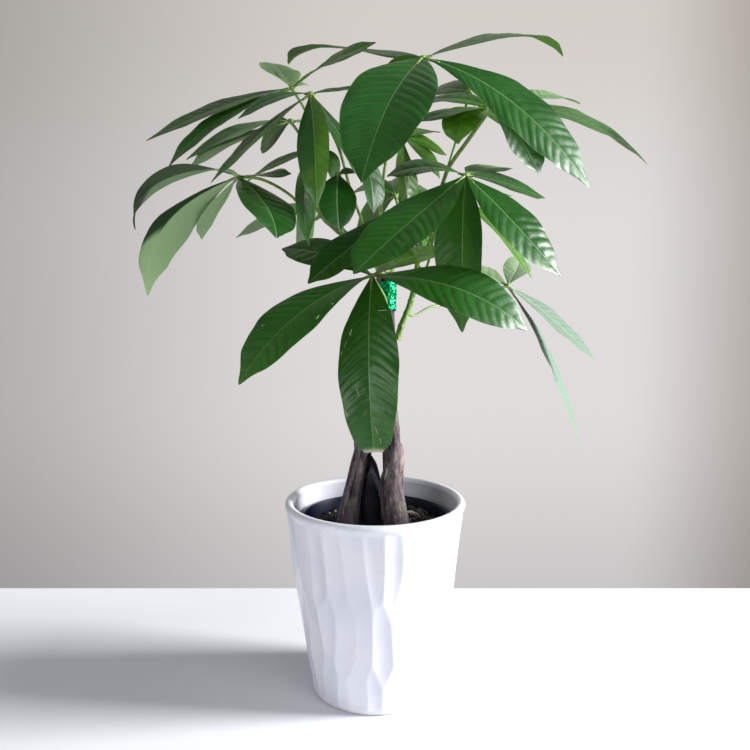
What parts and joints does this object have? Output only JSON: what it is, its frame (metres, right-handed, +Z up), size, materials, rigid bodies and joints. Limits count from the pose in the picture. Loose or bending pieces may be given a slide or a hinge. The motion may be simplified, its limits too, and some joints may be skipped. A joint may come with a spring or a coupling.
{
  "type": "potted money tree",
  "caption": "Potted money tree: a braided woody trunk with hand-shaped compound leaves on thin stalks, in a white ceramic cover pot carved with long shallow hollows.",
  "frame": {"origin": "centre of the cover pot's flat bottom", "axes": "+Z up, -Y towards the plant's front, +X to the right seen from the front"},
  "size_m": [0.3784, 0.2932, 0.5111],
  "materials": {
    "glaze": "smooth satin white glaze over carved hollows",
    "black_plastic": "thin, satin black",
    "soil": "crumbly peat and bark potting soil",
    "bark": "rough brown-grey bark",
    "green_foil": "crinkled shiny green foil",
    "green_shoot": "smooth green young bark",
    "leaf": "glossy dark green above, paler and matt beneath"
  },
  "bodies": {
    "root": {"pot": "glaze", "nursery_pot": "black_plastic", "soil": "soil", "stem_left": "bark", "stem_middle": "bark", "stem_right": "bark", "stem_rear": "bark", "foil_tie": "green_foil", "shoot_left": "green_shoot", "shoot_right": "green_shoot", "shoot_side": "green_shoot", "leaf_a": "leaf", "leaf_b": "leaf", "leaf_c": "leaf", "leaf_d": "leaf", "leaf_e": "leaf", "leaf_n": "leaf", "leaf_p": "leaf", "leaf_o": "leaf", "leaf_g": "leaf", "leaf_q": "leaf", "leaf_h": "leaf", "leaf_m": "leaf", "leaf_i": "leaf", "leaf_j": "leaf", "leaf_k": "leaf", "leaf_l": "leaf", "leaf_r": "leaf", "leaf_s": "leaf"}
  },
  "joints": []
}
